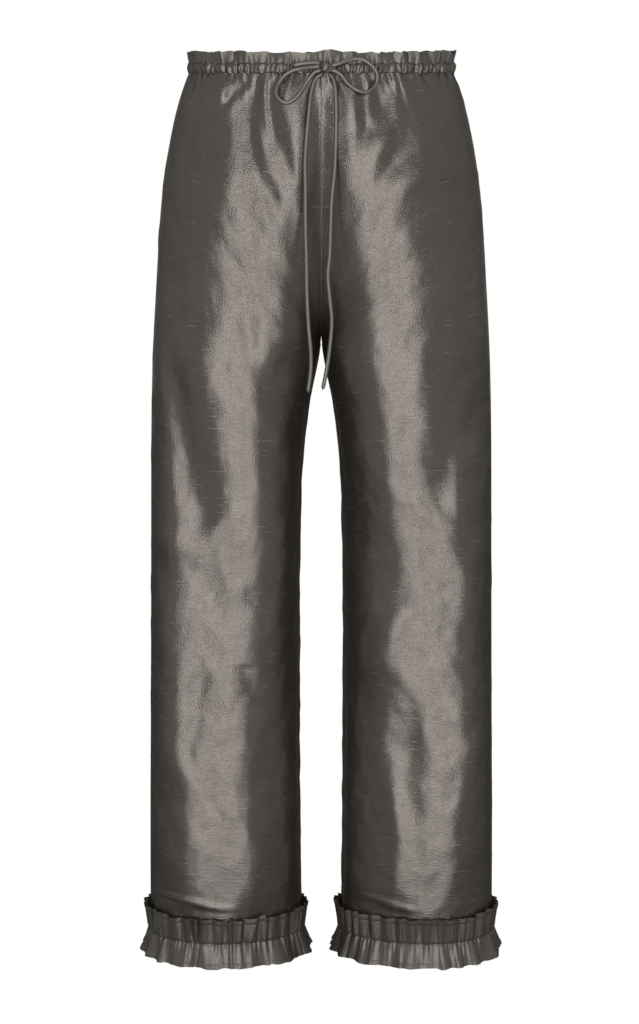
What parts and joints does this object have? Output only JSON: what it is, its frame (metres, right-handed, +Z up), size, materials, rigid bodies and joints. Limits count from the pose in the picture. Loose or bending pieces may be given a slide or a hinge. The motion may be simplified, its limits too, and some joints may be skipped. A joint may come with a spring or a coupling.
{
  "type": "drawstring trousers",
  "caption": "Wide straight raw-silk trousers with a drawstring waist, a frill above its casing and a gathered ruffle at each hem, in their worn shape.",
  "frame": {"origin": "middle of the waist opening, level with the drawstring casing", "axes": "+Z up along the legs towards the waist, front at -Y, the wearer's left leg at +X"},
  "size_m": [0.4226, 0.2417, 1.0211],
  "materials": {
    "silk": "dark olive-grey raw silk with fine horizontal slubs and a silvery sheen",
    "drawstring": "narrow tube of the same raw silk"
  },
  "bodies": {
    "root": {"leg_right_front": "silk", "leg_right_back": "silk", "leg_left_front": "silk", "leg_left_back": "silk", "waist_casing_front": "silk", "waist_casing_back": "silk", "waist_frill_front": "silk", "waist_frill_back": "silk", "hem_ruffle_right_front": "silk", "hem_ruffle_right_back": "silk", "hem_ruffle_left_front": "silk", "hem_ruffle_left_back": "silk", "drawstring_knot": "drawstring", "drawstring_loop_right": "drawstring", "drawstring_loop_left": "drawstring", "drawstring_lead_right": "drawstring", "drawstring_tail_right": "drawstring", "drawstring_tail_left": "drawstring"}
  },
  "joints": []
}
